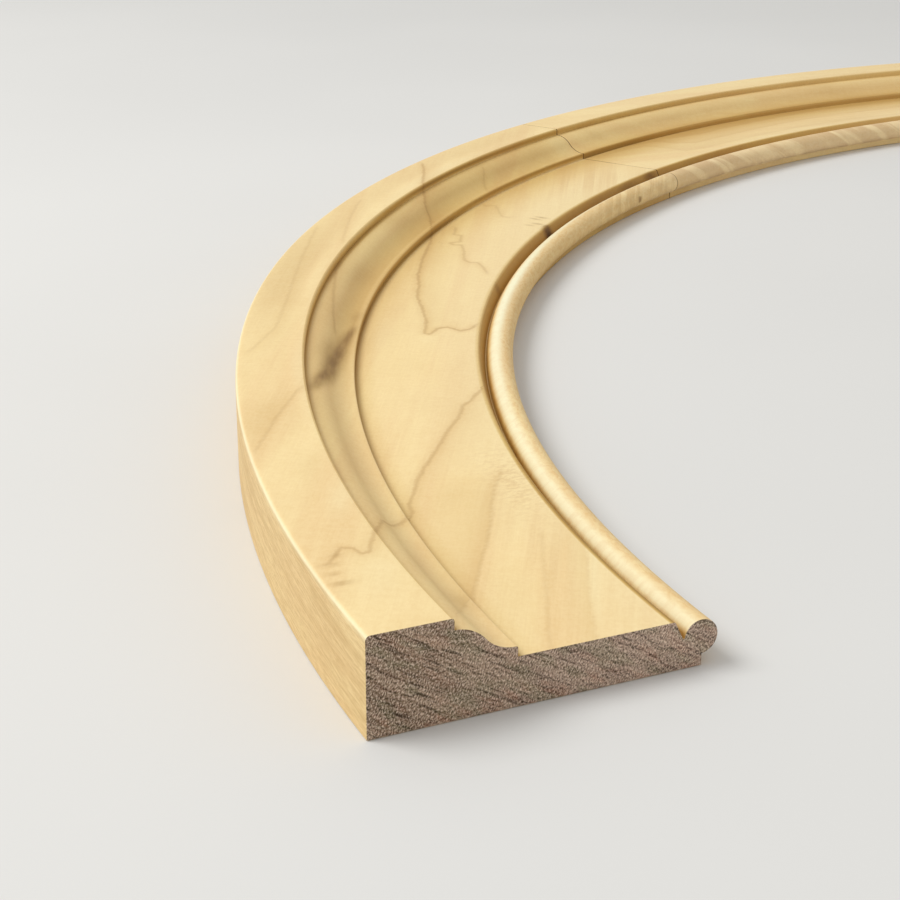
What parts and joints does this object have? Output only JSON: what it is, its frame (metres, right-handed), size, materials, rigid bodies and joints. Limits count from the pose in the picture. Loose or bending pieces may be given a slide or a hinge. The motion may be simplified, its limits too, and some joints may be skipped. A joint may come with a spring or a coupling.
{
  "type": "curved architrave moulding",
  "caption": "Half-round timber architrave of glued curved segments, with a thick outer band, ogee, flat field, quirk and inner bead, to trim an arched door or window head.",
  "frame": {"origin": "middle of the arch's footprint on its flat back, halfway across the span and halfway from the springing line to the crown's outer edge", "axes": "+Z out of the moulded face, +X along the span from the left springing end to the right, +Y from the springing line to the crown"},
  "size_m": [1.105, 0.5524, 0.0254],
  "materials": {
    "sanded_poplar": "sanded bare timber"
  },
  "bodies": {
    "root": {"left_segment": "sanded_poplar", "crown_segment": "sanded_poplar", "right_segment": "sanded_poplar"}
  },
  "joints": []
}
